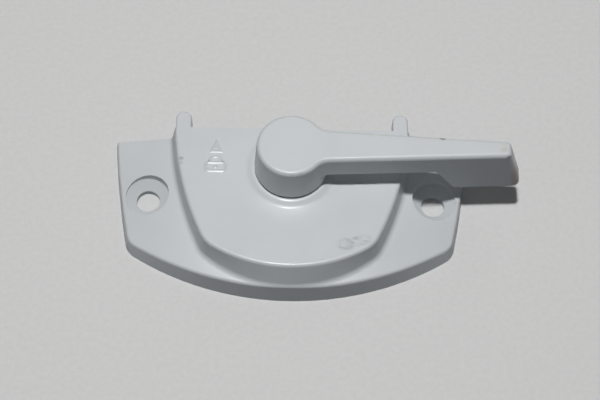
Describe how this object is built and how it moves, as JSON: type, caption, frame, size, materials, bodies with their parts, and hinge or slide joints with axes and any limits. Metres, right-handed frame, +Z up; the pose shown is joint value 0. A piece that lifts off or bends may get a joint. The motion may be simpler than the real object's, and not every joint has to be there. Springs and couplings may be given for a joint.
{
  "type": "window sash cam lock",
  "caption": "White die-cast sash lock: a crowned housing with screw ears and a raised dome carries a turning lever whose hooked cam swings out of the back to hold a keeper.",
  "frame": {"origin": "midway between the two screw holes, on the mounting face", "axes": "+X along the housing towards the lever's tip at rest, +Y towards the keeper, +Z up from the mounting face"},
  "size_m": [0.0899, 0.0413, 0.021],
  "materials": {
    "housing_paint": "satin white paint on zinc die casting",
    "handle_paint": "satin white paint on zinc die casting",
    "acetal": "natural acetal, moulded",
    "steel": "zinc-plated steel",
    "spring_steel": "oiled spring steel",
    "zinc": "bare zinc die casting"
  },
  "bodies": {
    "housing": {"housing": "housing_paint", "pivot_bush": "acetal", "detent_spring_left": "spring_steel", "detent_spring_right": "spring_steel"},
    "handle": {"handle": "handle_paint", "spindle": "steel", "thrust_washer": "acetal", "wave_washer": "spring_steel", "cam": "zinc", "retaining_washer": "steel", "lock_washer": "spring_steel", "retaining_screw": "steel"}
  },
  "joints": [
    {"name": "handle_turn", "type": "hinge", "parent": "housing", "child": "handle", "pos_m": [0, 0.0041, 0], "axis": [0, 0, 1], "range_deg": [-180, 0], "deforming": ["detent_spring_left", "detent_spring_right"]}
  ]
}
